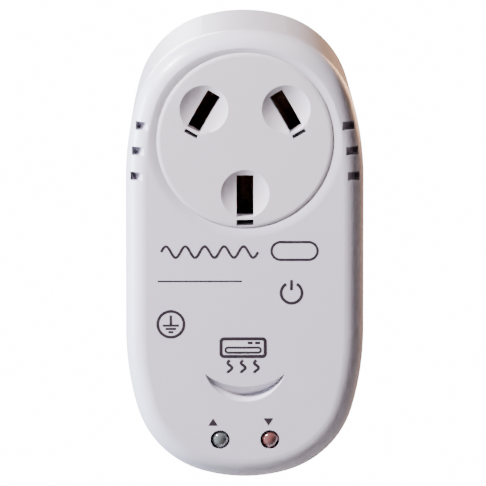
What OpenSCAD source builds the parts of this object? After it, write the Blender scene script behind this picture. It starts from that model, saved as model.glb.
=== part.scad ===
// Plug-through voltage protector for one appliance.
// Local drawing frame: X to the right, Y up the face, Z from the wall towards the user.
// stand() turns it upright: Z up, the face towards -Y, the wall at y = 0.
// The origin is the centre of the three-pin pattern on the back face.

/* [Housing] */
// Overall width
body_w = 39.8; // [39.4:0.1:42]
// Overall height
body_h = 75.8; // [75.4:0.1:84]
// Overall depth, wall to face
body_d = 33; // [32.5:0.5:37]
// Height of the top edge above the pin pattern centre
top_rise = 17.4; // [17.2:0.05:18.2]
// Wall thickness of both shells
wall = 2.2; // [1.8:0.1:2.4]
// Depth of the front shell behind the face
front_h = 4.6; // [4.4:0.1:6]
// Rounding of the front edge
face_r = 3.5; // [3:0.1:3.6]
// Rounding of the back edge
back_r = 1.8; // [1:0.1:2]
// How far the rear shell draws in towards the wall, each side
draft = 0.55; // [0.2:0.05:0.7]
// Width of the groove between the shells
seam_w = 0.16; // [0.1:0.02:0.3]
// Height of the tongue that enters the rear shell
tongue_h = 1.6; // [1:0.1:2]
// Thickness of the tongue
tongue_t = 0.95; // [0.8:0.05:1.1]
// Radial play between tongue and rear shell
tongue_fit = 0.12; // [0.08:0.02:0.2]

/* [Vents] */
// Number of vent slots on each side
vent_n = 3; // [1:1:4]
// Height of one vent slot
vent_h = 1.45; // [1:0.05:2]
// Pitch of the vent slots
vent_pitch = 4.25; // [3.5:0.05:5]
// Height of the top vent above the pin pattern centre
vent_top = 1.5; // [0:0.1:4]
// Reach of a vent's ramp in from the edge
vent_in = 2.8; // [2.6:0.05:3.2]
// Width of a vent's deep part
vent_deep = 0.75; // [0.6:0.05:0.9]
// Material left outside a vent
vent_skin = 0.75; // [0.6:0.05:0.9]
// Material left below a vent, above the seam
vent_floor = 0.45; // [0.3:0.05:0.8]

/* [Thumb recess] */
// Radius of the recess where it meets the face
scoop_r = 7.1; // [6.5:0.1:8]
// Depth of the recess below the face at the crisp arc
scoop_depth = 1.4; // [0.8:0.1:1.5]
// Radius of the crisp upper arc
scoop_arc_r = 11.3; // [11:0.1:12.5]
// Width of the crescent at its middle
scoop_w = 2.6; // [2:0.05:3.4]
// Height of the crescent's lowest point above the bottom edge
scoop_rise = 13.2; // [12:0.1:14]

/* [Socket] */
// Diameter of the opening for the socket face
disc_d = 29.8; // [29.4:0.1:30]
// Gap round the socket face
ring_gap = 0.16; // [0.1:0.02:0.25]
// How far the socket face centre lies below the pin pattern centre
disc_drop = 0.9; // [0.7:0.05:1.1]
// Radius of the flange behind the front shell
flange_r = 15.4; // [15.2:0.1:15.5]
// Thickness of the flange
flange_t = 1.25; // [1:0.05:1.5]
// Length of a blade slot
slot_l = 7; // [6.8:0.1:7.4]
// Width of the line and neutral slots
slot_w = 2.45; // [2.2:0.05:2.6]
// Width of the earth slot
earth_slot_w = 2.85; // [2.4:0.05:3]
// Thickness of the web at the outer end of each slot
web_t = 0.45; // [0.3:0.05:0.7]
// Length of the notch past the web, line and neutral
notch_l = 0.65; // [0.4:0.05:1]
// Length of the notch past the web, earth
earth_notch_l = 1.05; // [0.6:0.05:1.3]
// Diameter of the round dish about each slot
dish_d = 8.15; // [7.6:0.05:8.6]
// Depth of the dish
dish_depth = 1.05; // [0.7:0.05:1.3]
// Height of the dish centre above its slot centre
dish_rise = 0.4; // [0:0.05:0.6]

/* [Pins] */
// Radius of the circle that the line and neutral pins lie on
pole_r = 7.92; // [7.8:0.02:8]
// Distance of the earth pin from the pattern centre
earth_r = 10.31; // [10.2:0.01:10.5]
// Width of a blade
blade_w = 6.35; // [6.2:0.05:6.5]
// Thickness of a blade
blade_t = 1.6; // [1.5:0.05:1.7]
// Length of the line and neutral blades past the back face
blade_l = 17.1; // [16.8:0.1:17.5]
// Length of the earth blade past the back face
earth_l = 20; // [19.5:0.1:20.5]
// Play round each blade in the shell and the pin block
blade_fit = 0.15; // [0.1:0.01:0.25]
// Thickness of the pin block
block_t = 4; // [3.5:0.1:4.5]
// Radius of the pin block
block_r = 14.2; // [14:0.1:14.3]
// Thickness of a pin's head
head_t = 1.3; // [1:0.1:1.5]
// Length of a pin's head
head_l = 9; // [8.5:0.1:9.2]
// Width of a pin's head
head_w = 3.4; // [3:0.1:3.8]

/* [Contacts] */
// Thickness of the contact strip
strip_t = 0.5; // [0.4:0.05:0.6]
// Width of a contact clip along the blade
clip_w = 6; // [5.5:0.1:6.3]
// Height of a clip from its bend to its mouth
clip_h = 11.6; // [11:0.1:12]
// Gap between the jaws at the waist
clip_gap = 1.4; // [1.2:0.05:1.55]
// Half width of the mouth, on the strip's centre line
clip_mouth_w = 1.9; // [1.7:0.05:2]
// Width of a contact's tail
tail_w = 3.5; // [3:0.1:4]
// Radius of the carrier plate
plate_r = 14.6; // [14.4:0.1:14.7]
// Thickness of the carrier plate
plate_t = 1.6; // [1.4:0.1:2]
// Wall of the carrier towers
tower_wall = 1; // [0.9:0.05:1.1]
// Length of a tower's pocket
pocket_l = 7.2; // [7:0.1:7.4]
// Width of a tower's pocket
pocket_w = 4.6; // [4.5:0.1:4.8]

/* [Circuit board] */
// Thickness of the board
board_t = 1.6; // [1.2:0.1:1.8]
// Height of the board's solder side above the back face
board_z = 9; // [8.8:0.1:9.5]
// Play between the board and the rear shell
board_gap = 0.35; // [0.3:0.05:0.6]
// Distance of the board's top edge below the pin pattern centre
board_top = 15.6; // [15.4:0.1:15.8]
// Outer radius of the screw bosses
boss_r = 2.8; // [2.6:0.1:2.8]
// Distance of the upper bosses below the pin pattern centre
boss_drop = 18.4; // [18.3:0.1:18.5]
// Angle of the lower bosses below the horizontal, about the lower corners' centres
boss_turn = 41; // [38:1:43]
// Diameter of a housing screw
screw_d = 2.6; // [2.4:0.1:2.8]
// Length of a housing screw under its head
screw_l = 16; // [14:0.5:17]
// Diameter of the screw head
screw_head_d = 4.6; // [4.2:0.1:4.8]

/* [Relay] */
// Length of the relay
relay_l = 19; // [18.8:0.1:19.2]
// Width of the relay
relay_w = 15.5; // [15:0.1:15.6]
// Height of the relay
relay_h = 15.3; // [15.1:0.1:15.6]
// Wall of the relay cover
relay_wall = 0.8; // [0.6:0.05:0.9]
// Thickness of the yoke and the armature
iron_t = 1; // [0.8:0.05:1]
// How far the winding stays inside the bobbin's flanges
coil_in = 0.4; // [0.3:0.05:0.8]
// Radius of the core
core_r = 1.8; // [1.6:0.1:1.9]
// Gap between the armature and the pole at rest
pole_gap = 0.6; // [0.55:0.01:0.65]

/* [Lamps] */
// Distance between the two lamps
led_pitch = 8.34; // [8:0.02:9]
// Height of the lamps above the bottom edge
led_rise = 6.8; // [6.6:0.05:7.4]
// Diameter of a lamp's lens
led_d = 3; // [2.8:0.1:3.1]
// Play of a lamp in its window
led_fit = 0.12; // [0.08:0.02:0.2]
// How far a lens stands proud of the face
led_proud = 0.25; // [0:0.05:0.5]

/* [Hidden] */
$fn = 64;

// one overrun for every cut
over = 1;
// small gap that keeps seated pieces from overlapping
seat = 0.05;
// edge break on small moulded rims
rim_r = 0.25;

// housing outline: straight in the middle of each side, then a flank arc, a corner arc and
// the end arc; they meet smoothly on slopes of 7 to 24, and the radii keep to a step, so
// that every centre is exact
half_w = body_w / 2;
half_h = body_h / 2;
mid_y = top_rise - half_h;
near_share = 0.28;
far_share = 0.96;
corner_share = 0.804;
end_share = 1.28;
r_step = 0.25;
corner_r = round(corner_share * half_w / r_step) * r_step;
end_r = round(end_share * half_w / r_step) * r_step;
corner_x = (end_r - corner_r) * near_share;
corner_y = half_h - end_r + (end_r - corner_r) * far_share;
flank_r = (half_w - corner_x - corner_r * far_share) / (1 - far_share);
flank_x = half_w - flank_r;
flank_y = corner_y - (flank_r - corner_r) * near_share;
wedge_reach = 100;
// swept sections reach this far in, past the middle line
core_w = half_w + over;
bottom_y = mid_y - half_h;
seam_z = body_d - front_h;
back_in = wall;
face_in = body_d - wall;

// levels of the socket stack
flange_gap = 0.15;
flange_z = face_in - flange_gap - flange_t;
plate_gap = 0.1;
plate_z = flange_z - plate_gap - plate_t;
tower_z = plate_z - clip_h - strip_t;
clip_z = plate_z + plate_t - strip_t - clip_h;
block_z = back_in + seat;
head_z = block_z + block_t + seat;
head_top = head_z + head_t;
board_face = board_z + board_t;

// the three poles: turn about the pattern centre, radius, extra turn of the blade
LINE = 0;
NEUTRAL = 1;
EARTH = 2;
pole_turn = [30, 150, 270];
pole_out = [pole_r, pole_r, earth_r];
blade_turn = [0, 0, 90];
blade_len = [blade_l, blade_l, earth_l];
slot_wide = [slot_w, slot_w, earth_slot_w];
notch_len = [notch_l, notch_l, earth_notch_l];
// which end of each slot carries the web and the notch
slot_out = [-1, 1, -1];

// screw bosses
boss_gap = 0.15;
boss_x = half_w - wall - draft - boss_r - boss_gap;
low_boss_r = corner_r - wall - draft - boss_r - boss_gap;
low_boss_x = corner_x + low_boss_r * cos(boss_turn);
low_boss_y = mid_y - corner_y - low_boss_r * sin(boss_turn);
boss_places = [[boss_x, -boss_drop], [-boss_x, -boss_drop],
  [low_boss_x, low_boss_y], [-low_boss_x, low_boss_y]];
screw_fit = 0.05;
screw_clear = 0.15;
head_fit = 0.2;
screw_head_t = 1.8;
screw_sink = 4;
screw_slot_w = 0.7;
screw_slot_t = 0.8;
board_hole_fit = 0.4;

// pin block posts that carry the contact carrier
post_r = 1.5;
post_x = 11.3;
post_y = -5.2;
post_mid_y = 1.6;
post_gap = 0.1;
ring_t = 1;
ring_h = 2;
ring_fit = 0.1;
cheek_chamfer = 0.45;
tip_chamfer = 1.1;

// screws of the contact carrier
carrier_screw_d = 1.9;
carrier_head_d = 3.8;
carrier_head_t = 1.2;
carrier_screw_in = 1.8;
carrier_screw_low_x = 8.6;
carrier_screw_low_y = -8.2;
carrier_screw_top_y = 10.6;
carrier_screws_at = [[0, carrier_screw_top_y], [carrier_screw_low_x, carrier_screw_low_y],
  [-carrier_screw_low_x, carrier_screw_low_y]];

// clip profile, as shares of the clip's height
waist_share = 0.66;
belly_share = 0.14;
belly_w = 1.3;
foot_l = 4.6;
foot_w = 3;
line_tail_share = 0.32;

// leads
lead_r = 1;
thin_lead_r = 0.7;
lead_head_y = 3.2;
lead_low = 1.9;
lead_pad_drop = 2.1;
lead_in_x = 9.4;
lead_out_x = 4.9;
lead_tail_gap = 0.05;
lead_mid_x = 7.2;
lead_mid_y = -7;
lead_out_mid_x = 4.7;
lead_out_mid_y = -3;
lead_rise = 1.6;
// a lead swells this little at a bend
joint_share = 1.03;

// the width that the relay leaves free is shared by the film capacitor, the varistor
// and the gaps beside them
inner_half = half_w - wall - draft;
free_w = 2 * inner_half - relay_l;
side_share = 0.1034;
film_share = 0.4;
film_gap_share = 0.1404;
mov_gap_share = 0.057;
mov_share = 0.24;

// relay
relay_x = relay_l / 2 - inner_half + free_w * (side_share + film_share + film_gap_share);
relay_drop = 21.35;
relay_y = -relay_drop - relay_w / 2;
relay_gap = 0.05;
relay_base_t = 2.4;
relay_corner_r = 0.8;
cavity_u = relay_l / 2 - relay_wall;
// places along the relay, as shares of its half cavity
yoke_share = 0.8506;
coil_share = 0.161;
arm_back_share = 0.8276;
arm_front_share = 0.3908;
flange_share = 1.0575;
leaf_back_share = 0.3448;
leaf_front_share = 0.8391;
button_share = 0.7012;
open_share = 0.9023;
terminal_back_share = 0.8046;
terminal_front_share = 0.8736;
pole_top = 11.3;
pole_cap_t = 0.8;
pole_cap_r = 2.9;
hinge_gap = 0.2;
hinge_drop = 0.05;
yoke_u = -cavity_u * yoke_share;
coil_u = -cavity_u * coil_share;
yoke_w = 7;
yoke_reach = 3.6;
arm_w = 8;
arm_u0 = -cavity_u * arm_back_share;
arm_u1 = cavity_u * arm_front_share;
arm_z = pole_top + pole_gap;
hinge_u = yoke_u + iron_t / 2;
bobbin_wall = 0.5;
bobbin_flange_t = 0.7;
bobbin_flange_l = cavity_u * flange_share;
coil_r = bobbin_flange_l / 2 - coil_in;
bobbin_flange_w = 9.8;
coil_play = 0.05;
leaf_t = 0.25;
leaf_w = 4.6;
leaf_u0 = -cavity_u * leaf_back_share;
leaf_u1 = cavity_u * leaf_front_share;
leaf_rivet_d = 1.2;
leaf_rivet_t = 0.3;
button_u = cavity_u * button_share;
button_r = 1.2;
button_low_t = 0.5;
button_up_t = 0.3;
arm_top = arm_z + iron_t;
leaf_z = arm_top + seat;
contact_travel = 0.75;
contact_play = 0.05;
strip2_t = 0.4;
open_w = 3;
open_u = cavity_u * open_share;
closed_w = 1.5;
closed_y = 4.4;
open_button_t = 0.4;
spring_t = 0.2;
spring_w = 5;
spring_play = 0.1;
spring_foot_z = 5.6;
spring_reach = 2.4;
terminal_w = 1;
terminal_t = 0.5;
terminal_out = 3.2;
terminal_hole = 1.5;
terminal_back = -cavity_u * terminal_back_share;
terminal_front = cavity_u * terminal_front_share;
terminal_side = 6;
terminals_at = [[terminal_back, terminal_side], [terminal_back, -terminal_side],
  [terminal_back, 0], [terminal_front, terminal_side], [terminal_front, -terminal_side]];

// supply parts on the board
film_l = 13;
film_w = free_w * film_share;
film_h = 12;
film_x = film_w / 2 - inner_half + free_w * side_share;
film_gap = 0.5;
film_y = -boss_drop - boss_r - film_gap - film_l / 2;
film_r = 0.7;
cap_d = 8;
cap_h = 11.5;
cap_out = 1.1;
cap_gap = 1.5;
cap_x = -low_boss_x - cap_out;
cap_y = low_boss_y + boss_r + cap_gap + cap_d / 2;
cap_groove = 0.3;
cap_groove_z = 1.6;
cap_rim_t = 0.4;
cap_r = 0.6;
mov_d = 9;
mov_t = free_w * mov_share;
mov_x = relay_x + relay_l / 2 + free_w * mov_gap_share + mov_t / 2;
mov_y = -29;
mov_lift = 0.8;
mov_pitch = 5;
mov_edge_r = 0.9;
wire_d = 0.7;
diode_d = 2.6;
diode_l = 4;
diode_span = 6.4;
diode_lift = 0.3;
diode_pitch = 2.95;
diode_in = 2.85;
diode_y = -40.6;
diode_n = 3;
diode_x0 = inner_half - diode_in - (diode_n - 1) * diode_pitch;
res_d = 1.7;
res_bulb_d = 2;
res_bulb_l = 1.2;
res_l = 5;
res_span = 6.6;
res_lift = 0.25;
// place and turn of each resistor
res_at = [[-1.2, -38.05, 90], [-0.55, -50.95, 0], [-3, -18.6, 90]];
tr_r = 2.3;
tr_flat = 1.3;
tr_h = 4.6;
tr_lift = 1.8;
tr_pitch = 1.27;
tr_x = -5.5;
tr_y = -45.3;
chip_l = 9.2;
chip_w = 6.3;
chip_h = 3.3;
chip_lift = 0.5;
chip_x = 2;
chip_y = -43.4;
chip_n = 4;
chip_pitch = 2.54;
chip_leg_w = 0.8;
chip_leg_t = 0.28;
chip_leg_out = 0.9;
chip_notch_r = 0.8;
chip_notch_t = 0.3;

// lamps
led_y = bottom_y + led_rise;
led_body = 4.35;
led_rim_t = 1;
led_rim_d = 3.8;
led_tip = body_d + led_proud;
led_rim_z = led_tip - led_body - led_rim_t;
collar_t = 0.8;
spacer_d = 4.4;
led_lead_t = 0.5;
led_lead_pitch = 2.54;
led_lead_fit = 0.15;

// solder joints
joint_r = 0.8;
joint_tip_r = 0.45;
joint_h = 1.1;

// thumb recess geometry
scoop_low = bottom_y + scoop_rise;
scoop_y = scoop_low + scoop_r;
scoop_arc_y = scoop_low + scoop_w + scoop_arc_r;
scoop_in = scoop_r - scoop_w;
scoop_ball_r = let(p = scoop_r * scoop_r, q = scoop_in * scoop_in, d = scoop_depth,
  k = (p - q - d * d) / (2 * d)) sqrt(k * k + p);
scoop_ball_z = body_d + sqrt(scoop_ball_r * scoop_ball_r - scoop_r * scoop_r);

module stand() {
  rotate([90, 0, 0]) children();
}

// full turn of a filled section whose outline lies at r
module turned(r) {
  rotate_extrude($fn = 96)
    intersection() {
      translate([r, 0]) children();
      translate([0, -over]) square([r + over, body_d + 2 * over]);
    }
}

// what lies between two slopes
module wedge(a, b) {
  polygon([[0, 0], a * wedge_reach, b * wedge_reach]);
}

module wedge_block(a, b) {
  translate([0, 0, -over]) linear_extrude(body_d + 2 * over) wedge(a, b);
}

// sweeps a filled section round the outline; x = 0 is the outline, inwards is negative
module around() {
  translate([0, mid_y, 0]) {
    for (s = [0, 1], t = [0, 1])
      mirror([s, 0, 0]) mirror([0, t, 0]) {
        translate([corner_x, corner_y, 0]) turned(corner_r) children();
        translate([flank_x, flank_y, 0]) intersection() {
          turned(flank_r) children();
          wedge_block([1, 0], [far_share, near_share]);
        }
      }
    for (t = [0, 1])
      mirror([0, t, 0]) translate([0, half_h - end_r, 0]) intersection() {
        turned(end_r) children();
        wedge_block([near_share, far_share], [-near_share, far_share]);
      }
    for (s = [0, 1])
      mirror([s, 0, 0]) translate([half_w, flank_y, 0])
        rotate([90, 0, 0]) linear_extrude(2 * flank_y) children();
  }
}

// the outline as a flat shape, drawn in by a distance
module outline(in) {
  translate([0, mid_y]) {
    for (s = [0, 1], t = [0, 1])
      mirror([s, 0]) mirror([0, t]) {
        translate([corner_x, corner_y]) circle(r = corner_r - in, $fn = 96);
        translate([flank_x, flank_y]) intersection() {
          circle(r = flank_r - in, $fn = 96);
          wedge([1, 0], [far_share, near_share]);
          translate([-flank_x, -over]) square([half_w + over, corner_y]);
        }
      }
    for (t = [0, 1])
      mirror([0, t]) translate([0, half_h - end_r]) intersection() {
        circle(r = end_r - in, $fn = 96);
        wedge([near_share, far_share], [-near_share, far_share]);
      }
    translate([in - half_w, -flank_y]) square([2 * (half_w - in), 2 * flank_y]);
  }
}

// quarter of a disc, for a rounded corner
module quarter(r) {
  intersection() {
    circle(r = r, $fn = 48);
    square(r + over);
  }
}

// block from the core to x = 0 with its upper outer corner rounded
module rounded_section(z0, z1, r, in) {
  core_section(in, z0, z1 - r);
  core_section(in + r, z0, z1);
  translate([-in - r, z1 - r]) quarter(r);
}

// solid core up to a distance inside the outline
module core_section(in, z0, z1) {
  translate([-core_w, z0]) square([core_w - in, z1 - z0]);
}

module front_outer_section() {
  rounded_section(seam_z, body_d, face_r, 0);
  core_section(wall - tongue_t, seam_z - tongue_h, body_d - face_r);
}

module front_cavity_section() {
  rounded_section(seam_z - tongue_h - over, face_in, face_r - wall, wall);
}

module rear_outer_section() {
  polygon([[-core_w, 0], [-draft - back_r, 0], [-draft - back_r, back_r], [-draft, back_r],
    [0, seam_z - seam_w], [-core_w, seam_z - seam_w]]);
  translate([-draft - back_r, back_r]) rotate([0, 0, -90]) quarter(back_r);
}

module rear_cavity_section() {
  polygon([[-core_w, wall], [-wall - draft, wall], [-wall, seam_z], [-wall, body_d],
    [-core_w, body_d]]);
  core_section(wall - tongue_t - tongue_fit, seam_z - seam_w - tongue_h, body_d);
}

module at_pole(p) {
  rotate([0, 0, pole_turn[p]])
    translate([pole_out[p], 0, 0])
      rotate([0, 0, blade_turn[p]]) children();
}

module at_bosses() {
  for (q = boss_places) translate([q[0], q[1], 0]) children();
}

module at_lamp(side) {
  translate([side * led_pitch / 2, led_y, 0]) children();
}

module on_board(x, y) {
  translate([x, y, board_face]) children();
}

module box(l, w, h) {
  translate([-l / 2, -w / 2, 0]) cube([l, w, h]);
}

module rounded_box(l, w, h, r) {
  linear_extrude(h) {
    translate([-l / 2 + r, -w / 2]) square([l - 2 * r, w]);
    translate([-l / 2, -w / 2 + r]) square([l, w - 2 * r]);
    for (i = [-1, 1], j = [-1, 1])
      translate([i * (l / 2 - r), j * (w / 2 - r)]) circle(r = r, $fn = 24);
  }
}

// round wire through a list of points, with round bends
module wire(pts, r) {
  for (i = [0 : len(pts) - 2])
    let (a = pts[i], b = pts[i + 1], d = b - a, h = norm(d)) {
      translate(a)
        rotate([0, acos(d[2] / h), atan2(d[1], d[0])])
          cylinder(r = r, h = h, $fn = 32);
      if (i > 0) translate(a) sphere(r = r * joint_share, $fn = 32);
    }
}

// strip of sheet metal between two points, seen on edge
module edge(a, b, t) {
  d = b - a;
  translate(a)
    rotate([0, 0, atan2(d[1], d[0])])
      translate([0, -t / 2]) square([norm(d), t]);
  translate(b) circle(d = t, $fn = 24);
}

// half width of the outline at a height
function half_at(y) = let(d = max(0, abs(y - mid_y) - flank_y))
  flank_x + sqrt(flank_r * flank_r - d * d);

// slots that slope down into the rounded edge and break through the wall under the ramp
module vents() {
  for (s = [0, 1], i = [0 : vent_n - 1])
    let (y = vent_top - i * vent_pitch, x = half_at(y), z = seam_z + vent_floor)
      translate([0, y, 0]) mirror([s, 0, 0])
        translate([0, vent_h / 2, 0]) rotate([90, 0, 0]) linear_extrude(vent_h)
          polygon([[x - vent_in, body_d], [x - vent_skin - vent_deep, z + vent_deep],
            [x - vent_in, z + vent_deep], [x - vent_in, z], [x - vent_skin, z],
            [x - vent_skin, body_d + over], [x - vent_in, body_d + over]]);
}

module thumb_recess() {
  difference() {
    translate([0, scoop_y, scoop_ball_z]) sphere(r = scoop_ball_r, $fn = 128);
    translate([0, scoop_arc_y, 0]) cylinder(r = scoop_arc_r, h = body_d + over, $fn = 128);
  }
}

module front_shell() {
  color([0.86, 0.87, 0.91])
  stand() difference() {
    union() {
      difference() {
        around() front_outer_section();
        around() front_cavity_section();
      }
      at_bosses() translate([0, 0, board_face + seat])
        cylinder(r = boss_r, h = face_in - board_face);
      for (s = [-1, 1]) at_lamp(s)
        translate([0, 0, led_rim_z + led_rim_t + seat])
          cylinder(d = led_d + 2 * led_fit + 2 * collar_t,
            h = face_in - led_rim_z - led_rim_t);
    }
    translate([0, -disc_drop, face_in - over]) cylinder(d = disc_d, h = wall + 2 * over, $fn = 128);
    translate([0, -disc_drop, body_d]) disc_break();
    for (s = [-1, 1]) at_lamp(s)
      translate([0, 0, led_rim_z]) cylinder(d = led_d + 2 * led_fit, h = body_d);
    at_bosses() translate([0, 0, board_face - over])
      cylinder(d = screw_d + 2 * screw_fit, h = screw_sink + screw_l - board_face + 2 * over);
    vents();
    thumb_recess();
  }
}

// rounds the inner edge of the opening in the face
module disc_break() {
  rotate_extrude($fn = 128)
    translate([disc_d / 2, 0])
      difference() {
        translate([-rim_r, -rim_r]) square([2 * rim_r, rim_r + over]);
        translate([rim_r, -rim_r]) circle(r = rim_r, $fn = 24);
        translate([rim_r, -over]) square([over, 2 * over]);
      }
}

module blade_slots(p, z, h, play) {
  at_pole(p) translate([0, 0, z]) box(blade_t + 2 * play, blade_w + 2 * play, h);
}

module rear_shell() {
  color([0.86, 0.87, 0.91])
  stand() difference() {
    union() {
      difference() {
        around() rear_outer_section();
        around() rear_cavity_section();
      }
      at_bosses() translate([0, 0, wall / 2])
        cylinder(r = boss_r, h = board_z - seat - wall / 2);
      translate([0, -disc_drop, wall / 2])
        difference() {
          cylinder(r = block_r + ring_fit + ring_t, h = ring_h + wall / 2, $fn = 128);
          translate([0, 0, wall / 2])
            cylinder(r = block_r + ring_fit, h = ring_h + over, $fn = 128);
        }
    }
    for (p = [LINE, NEUTRAL, EARTH]) blade_slots(p, -over, wall + 2 * over, blade_fit);
    at_bosses() {
      translate([0, 0, -over]) cylinder(d = screw_head_d + 2 * head_fit, h = screw_sink + over);
      cylinder(d = screw_d + 2 * screw_clear, h = board_z + over);
    }
  }
}

module housing_screws() {
  color([0.6, 0.6, 0.62])
  stand() at_bosses() translate([0, 0, screw_sink + seat - screw_head_t])
    difference() {
      union() {
        cylinder(d = screw_head_d, h = screw_head_t - seat);
        cylinder(d = screw_d, h = screw_head_t + screw_l);
      }
      for (t = [0, 90]) rotate([0, 0, t])
        translate([0, 0, -over])
          box(screw_d + screw_slot_w, screw_slot_w, over + screw_slot_t);
    }
}

// round body of the socket face with its flange, as one turned section
module socket_body() {
  r = disc_d / 2 - ring_gap;
  translate([0, -disc_drop, 0])
    rotate_extrude($fn = 128) {
      translate([0, flange_z]) square([flange_r, flange_t]);
      translate([0, flange_z]) square([r, body_d - rim_r - flange_z]);
      translate([0, flange_z]) square([r - rim_r, body_d - flange_z]);
      translate([r - rim_r, body_d - rim_r]) circle(r = rim_r, $fn = 24);
    }
}

module socket_slot(p) {
  w = slot_wide[p];
  z = flange_z - over;
  h = body_d - z + over;
  n = notch_len[p];
  at_pole(p) {
    translate([0, 0, z]) box(w, slot_l, h);
    translate([0, slot_out[p] * (slot_l / 2 + web_t + n / 2), z]) box(w, n, h);
  }
}

module dish() {
  ball = (dish_d * dish_d / 4 + dish_depth * dish_depth) / (2 * dish_depth);
  translate([0, dish_rise, body_d + ball - dish_depth]) sphere(r = ball, $fn = 96);
}

module socket_face() {
  color([0.87, 0.86, 0.87])
  stand() difference() {
    socket_body();
    for (p = [LINE, NEUTRAL, EARTH]) {
      socket_slot(p);
      translate([pole_out[p] * cos(pole_turn[p]), pole_out[p] * sin(pole_turn[p]), 0]) dish();
    }
    for (q = carrier_screws_at)
      translate([q[0], q[1], flange_z - over])
        cylinder(d = carrier_screw_d + 2 * screw_fit, h = carrier_screw_in + 2 * over, $fn = 24);
  }
}

module contact_carrier() {
  color([0.3, 0.3, 0.32])
  stand() difference() {
    union() {
      translate([0, -disc_drop, plate_z]) cylinder(r = plate_r, h = plate_t, $fn = 96);
      for (p = [LINE, NEUTRAL, EARTH]) at_pole(p)
        translate([0, 0, tower_z])
          rounded_box(pocket_w + 2 * tower_wall, pocket_l + 2 * tower_wall,
            plate_z + plate_t - tower_z, tower_wall / 2);
    }
    for (p = [LINE, NEUTRAL, EARTH]) at_pole(p)
      translate([0, 0, tower_z - over]) box(pocket_w, pocket_l, body_d);
    for (q = carrier_screws_at)
      translate([q[0], q[1], plate_z - over])
        cylinder(d = carrier_screw_d + 2 * screw_clear, h = plate_t + 2 * over, $fn = 24);
  }
}

module carrier_screws() {
  color([0.6, 0.6, 0.62])
  stand() for (q = carrier_screws_at)
    translate([q[0], q[1], plate_z - seat - carrier_head_t])
      difference() {
        union() {
          cylinder(d = carrier_head_d, h = carrier_head_t, $fn = 32);
          cylinder(d = carrier_screw_d,
            h = carrier_head_t + seat + plate_t + plate_gap + carrier_screw_in, $fn = 24);
        }
        for (t = [0, 90]) rotate([0, 0, t])
          translate([0, 0, -over])
            box(carrier_screw_d + screw_slot_w, screw_slot_w, over + screw_slot_t);
      }
}

// clip seen on edge: two sprung jaws on a bend
module clip_section() {
  waist_x = (clip_gap + strip_t) / 2;
  for (s = [-1, 1]) {
    edge([0, 0], [s * belly_w, 0], strip_t);
    edge([s * belly_w, 0], [s * belly_w, clip_h * belly_share], strip_t);
    edge([s * belly_w, clip_h * belly_share], [s * waist_x, clip_h * waist_share], strip_t);
    edge([s * waist_x, clip_h * waist_share], [s * clip_mouth_w, clip_h], strip_t);
  }
}

module clip() {
  translate([0, clip_w / 2, clip_z]) rotate([90, 0, 0]) linear_extrude(clip_w) clip_section();
}

module tail(z) {
  translate([-strip_t / 2, -tail_w / 2, z]) cube([strip_t, tail_w, clip_z - z]);
}

// contact whose tail stands on the head of its own pin
module through_contact(p) {
  stand() at_pole(p) {
    clip();
    tail(head_top + seat);
    translate([0, 0, head_top + seat]) box(foot_w, foot_l, strip_t);
  }
}

module line_contact() {
  color([0.83, 0.68, 0.36])
  stand() at_pole(LINE) {
    clip();
    tail(clip_z - clip_h * line_tail_share);
  }
}

module neutral_contact() {
  color([0.83, 0.68, 0.36]) through_contact(NEUTRAL);
}

module earth_contact() {
  color([0.83, 0.68, 0.36]) through_contact(EARTH);
}

// blade with a bevelled tip and a head that rests on the pin block
module pin(p) {
  tip = -blade_len[p];
  t = blade_t / 2;
  w = blade_w / 2;
  stand() at_pole(p) {
    intersection() {
      translate([0, w, 0]) rotate([90, 0, 0]) linear_extrude(blade_w)
        polygon([[-t, head_z], [-t, tip + tip_chamfer], [-t + cheek_chamfer, tip],
          [t - cheek_chamfer, tip], [t, tip + tip_chamfer], [t, head_z]]);
      translate([-t, 0, 0]) rotate([90, 0, 90]) linear_extrude(blade_t)
        polygon([[-w, head_z], [-w, tip + tip_chamfer], [-w + tip_chamfer, tip],
          [w - tip_chamfer, tip], [w, tip + tip_chamfer], [w, head_z]]);
    }
    translate([0, 0, head_z]) box(head_w, head_l, head_t);
  }
}

module line_pin() {
  color([0.83, 0.68, 0.36]) pin(LINE);
}

module neutral_pin() {
  color([0.83, 0.68, 0.36]) pin(NEUTRAL);
}

module earth_pin() {
  color([0.83, 0.68, 0.36]) pin(EARTH);
}

module pin_block() {
  color([0.25, 0.25, 0.27])
  stand() difference() {
    union() {
      translate([0, -disc_drop, block_z]) cylinder(r = block_r, h = block_t, $fn = 96);
      for (q = [[post_x, post_y], [-post_x, post_y], [0, post_mid_y]])
        translate([q[0], q[1], block_z])
          cylinder(r = post_r, h = plate_z - post_gap - block_z, $fn = 32);
    }
    for (p = [LINE, NEUTRAL, EARTH])
      blade_slots(p, block_z - over, block_t + 2 * over, blade_fit);
  }
}

function pole_point(p, u, v, z) = let(a = pole_turn[p], c = cos(a), s = sin(a),
  t = blade_turn[p], x = pole_out[p] + u * cos(t) - v * sin(t), y = u * sin(t) + v * cos(t))
  [x * c - y * s, x * s + y * c, z];

pad_y = -board_top - lead_pad_drop;
lead_top = head_top + lead_low;
lead_hop = board_face + lead_rise;

module line_in_lead() {
  a = pole_point(LINE, 0, -lead_head_y, head_top + seat);
  color([0.45, 0.25, 0.12])
  stand() wire([a, [a[0], a[1], lead_top], [lead_mid_x, lead_mid_y, lead_top],
    [lead_in_x, pad_y, lead_hop], [lead_in_x, pad_y, board_face + seat]], lead_r);
}

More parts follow.
